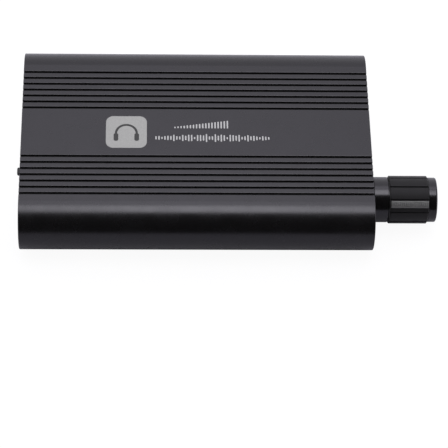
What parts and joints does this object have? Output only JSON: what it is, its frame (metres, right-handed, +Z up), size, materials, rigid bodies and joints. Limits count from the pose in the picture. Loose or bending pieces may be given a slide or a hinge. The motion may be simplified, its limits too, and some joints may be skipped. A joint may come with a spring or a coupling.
{
  "type": "headphone amplifier",
  "caption": "Pocket headphone amplifier: grooved extruded aluminium case with round long edges, turned volume knob, sockets, slide switch and battery inside.",
  "frame": {"origin": "centre of the case's flat underside", "axes": "+X along the case towards the volume knob and sockets, +Y towards the back edge, +Z up out of the grooved top"},
  "size_m": [0.1292, 0.071, 0.0189],
  "materials": {
    "case_anodised": "fine bead-blasted black anodising, semi-gloss",
    "panel_anodised": "fine bead-blasted black anodising",
    "knob_anodised": "turned, black anodised, satin",
    "grip_rubber": "moulded, matt, pale ribbed pointer land",
    "black_steel": "black oxide",
    "nickel_plate": "bright nickel plate",
    "plain_aluminium": "turned, plain",
    "gold_plate": "gold-plated spring brass",
    "board_laminate": "glass laminate under green solder mask",
    "black_plastic": "moulded, matt",
    "white_plastic": "moulded nylon",
    "phenolic": "punched phenolic wafer",
    "lamp_clear": "clear epoxy",
    "lamp_red": "tinted clear epoxy",
    "cell_pouch": "heat-sealed foil pouch",
    "foam": "closed-cell foam",
    "wire_red": "wire insulation",
    "wire_black": "wire insulation",
    "ferrite": "moulded ferrite",
    "resistor_body": "glazed chip",
    "capacitor_body": "tan ceramic chip",
    "can_aluminium": "drawn can"
  },
  "bodies": {
    "case": {"case_shell": "case_anodised", "front_panel": "panel_anodised", "rear_panel": "panel_anodised", "front_panel_screws": "black_steel", "rear_panel_screws": "black_steel", "main_board": "board_laminate", "pot_frame": "nickel_plate", "pot_case": "black_plastic", "pot_track": "phenolic", "pot_terminals": "nickel_plate", "pot_washer": "nickel_plate", "pot_nut": "nickel_plate", "headphone_jack_body": "black_plastic", "headphone_jack_contacts": "gold_plate", "input_jack_body": "black_plastic", "input_jack_contacts": "gold_plate", "usb_port_shell": "nickel_plate", "usb_port_tongue": "black_plastic", "gain_switch_frame": "nickel_plate", "gain_switch_base": "phenolic", "gain_switch_terminals": "nickel_plate", "power_led": "lamp_clear", "charge_led": "lamp_red", "led_leads": "nickel_plate", "battery_cell": "cell_pouch", "battery_pad": "foam", "battery_guard_board": "board_laminate", "battery_wire_red": "wire_red", "battery_wire_black": "wire_black", "battery_plug": "white_plastic", "battery_header": "white_plastic", "amp_chips": "black_plastic", "charger_chip": "black_plastic", "chip_leads": "nickel_plate", "power_inductor": "ferrite", "filter_capacitors": "can_aluminium", "filter_capacitor_leads": "nickel_plate", "chip_resistors": "resistor_body", "chip_capacitors": "capacitor_body"},
    "volume": {"pot_shaft": "plain_aluminium", "pot_rotor": "phenolic", "volume_knob": "knob_anodised", "knob_grip": "grip_rubber", "knob_grub_screw": "black_steel"},
    "gain": {"gain_switch_slider": "black_plastic"}
  },
  "joints": [
    {"name": "volume_turn", "type": "hinge", "parent": "case", "child": "volume", "pos_m": [0.054, -0.01855, 0.00945], "axis": [-1, 0, 0], "range_deg": [-100, 200]},
    {"name": "gain_slide", "type": "slide", "parent": "case", "child": "gain", "axis": [0, 1, 0], "range_m": [0, 0.002]}
  ]
}
